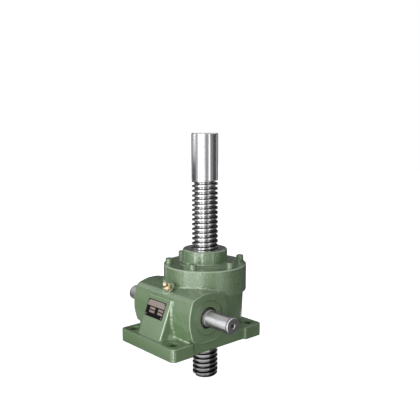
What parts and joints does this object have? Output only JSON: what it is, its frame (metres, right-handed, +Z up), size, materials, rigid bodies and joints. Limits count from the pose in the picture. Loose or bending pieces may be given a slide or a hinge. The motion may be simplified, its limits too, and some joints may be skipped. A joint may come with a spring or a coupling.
{
  "type": "worm gear screw jack",
  "caption": "Base-mounted worm gear screw jack with a round cast body, keyed worm shaft ends and a trapezoidal lifting screw.",
  "frame": {"origin": "on the lifting screw's axis, in the plane of the base plate's mounting face", "axes": "+Z up along the lifting screw, out of the collar; +X along the worm shaft towards its drive end; -Y towards the worm and the plate on the buttress"},
  "size_m": [0.378, 0.292, 0.618],
  "materials": {
    "green_paint": "satin spray paint over a sand cast surface",
    "machined_steel": "turned and lightly oiled",
    "bearing_steel": "ground and hardened",
    "bronze": "machined tin bronze",
    "brass": "turned brass",
    "black_rubber": "moulded rubber",
    "plate_metal": "thin blank sheet"
  },
  "bodies": {
    "housing": {"housing": "green_paint", "top_cover": "green_paint", "cover_screws": "green_paint", "cover_spring_washers": "green_paint", "drive_bearing_plug": "green_paint", "rear_bearing_plug": "green_paint", "plug_lock_screws": "machined_steel", "cover_shim": "machined_steel", "drive_bearing_shim": "machined_steel", "rear_bearing_shim": "machined_steel", "lower_thrust_housing_race": "bearing_steel", "lower_thrust_balls": "bearing_steel", "upper_thrust_housing_race": "bearing_steel", "upper_thrust_balls": "bearing_steel", "drive_bearing_outer_ring": "bearing_steel", "drive_bearing_balls": "bearing_steel", "rear_bearing_outer_ring": "bearing_steel", "rear_bearing_balls": "bearing_steel", "lower_guide_bush": "bronze", "upper_guide_bush": "bronze", "grease_fitting": "brass", "collar_wiper": "black_rubber", "drive_oil_seal": "black_rubber", "rear_oil_seal": "black_rubber", "nameplate": "plate_metal", "nameplate_rivets": "plate_metal"},
    "screw": {"lifting_screw": "machined_steel"},
    "wheel": {"worm_wheel": "bronze", "lower_thrust_shaft_race": "bearing_steel", "upper_thrust_shaft_race": "bearing_steel"},
    "worm": {"worm_shaft": "machined_steel", "drive_bearing_inner_ring": "bearing_steel", "rear_bearing_inner_ring": "bearing_steel"}
  },
  "joints": [
    {"name": "screw_travel", "type": "slide", "parent": "housing", "child": "screw", "axis": [0, 0, 1], "range_m": [-0.16, 0.12]},
    {"name": "wheel_spin", "type": "hinge", "parent": "housing", "child": "wheel", "pos_m": [0, 0, 0.085], "axis": [0, 0, 1], "range_deg": [-3605, 4805]},
    {"name": "worm_spin", "type": "hinge", "parent": "housing", "child": "worm", "pos_m": [0, -0.084, 0.085], "axis": [1, 0, 0], "range_deg": [-115206, 86405]}
  ],
  "couplings": [
    {"joint": "wheel_spin", "follows": "screw_travel", "rad_per_m": -523.6},
    {"joint": "worm_spin", "follows": "screw_travel", "rad_per_m": 12566}
  ]
}
